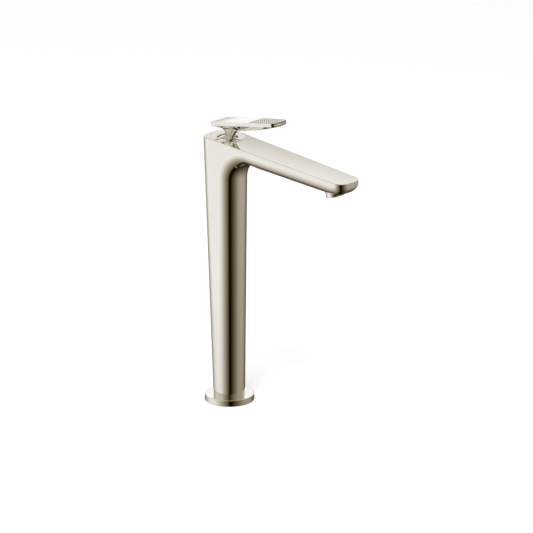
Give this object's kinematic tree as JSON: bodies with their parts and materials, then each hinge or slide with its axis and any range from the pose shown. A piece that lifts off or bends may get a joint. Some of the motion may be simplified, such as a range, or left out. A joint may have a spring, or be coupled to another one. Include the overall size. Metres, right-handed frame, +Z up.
{
  "type": "basin mixer tap",
  "caption": "Tall single-lever basin mixer: leaning rounded column, long flat tapering spout with angled aerator, slim lever on a waisted ball neck.",
  "frame": {"origin": "centre of the flange underside on the column axis, where the tap stands on the deck", "axes": "+Z up along the column, -Y forward along the spout, +X to the cold-tube side; hot is on -X"},
  "size_m": [0.05, 0.1966, 0.3096],
  "materials": {
    "polished_nickel": "mirror-polished nickel plate, warm tone",
    "raw_brass": "machined brass",
    "copper_tube": "drawn copper tube",
    "steel": "turned stainless steel",
    "black_rubber": "matt black rubber",
    "white_plastic": "moulded plastic",
    "grey_plastic": "moulded plastic, matt",
    "ceramic": "lapped ceramic",
    "red_enamel": "red enamel inlay",
    "blue_enamel": "blue enamel inlay"
  },
  "bodies": {
    "faucet_body": {"body_shell": "polished_nickel", "base_flange": "polished_nickel", "base_gasket": "black_rubber", "foot_block": "raw_brass", "supply_tube_hot": "copper_tube", "supply_tube_cold": "copper_tube", "tube_nuts": "raw_brass", "cartridge_base": "white_plastic", "cartridge_seals": "black_rubber", "fixed_ceramic_disc": "ceramic", "cartridge_housing": "white_plastic", "cartridge_o_ring": "black_rubber", "cartridge_nut": "raw_brass", "hot_limit_ring": "grey_plastic", "cover_ring": "polished_nickel", "hot_mark": "red_enamel", "cold_mark": "blue_enamel", "aerator_housing": "polished_nickel", "aerator_insert": "grey_plastic", "aerator_screen": "steel", "flow_limiter": "grey_plastic", "aerator_seal": "black_rubber"},
    "turning_guide": {"spindle_guide": "grey_plastic", "spindle_pin": "steel"},
    "lever": {"spindle": "steel", "dome_cap": "polished_nickel", "lever_handle": "polished_nickel", "handle_set_screw": "steel", "screw_plug": "polished_nickel"},
    "sliding_disc": {"moving_ceramic_disc": "ceramic", "disc_carrier": "white_plastic"}
  },
  "joints": [
    {"name": "temperature", "type": "hinge", "parent": "faucet_body", "child": "turning_guide", "pos_m": [0, 0.002, 0.26], "axis": [0, 0, 1], "range_deg": [-90, 0]},
    {"name": "flow", "type": "hinge", "parent": "turning_guide", "child": "lever", "pos_m": [0, 0.002, 0.26], "axis": [-1, 0, 0], "range_deg": [0, 25]},
    {"name": "disc_slide", "type": "slide", "parent": "turning_guide", "child": "sliding_disc", "axis": [0, -1, 0], "range_m": [0, 0.0033]}
  ],
  "couplings": [
    {"joint": "disc_slide", "follows": "flow", "m_per_rad": 0.00744}
  ]
}
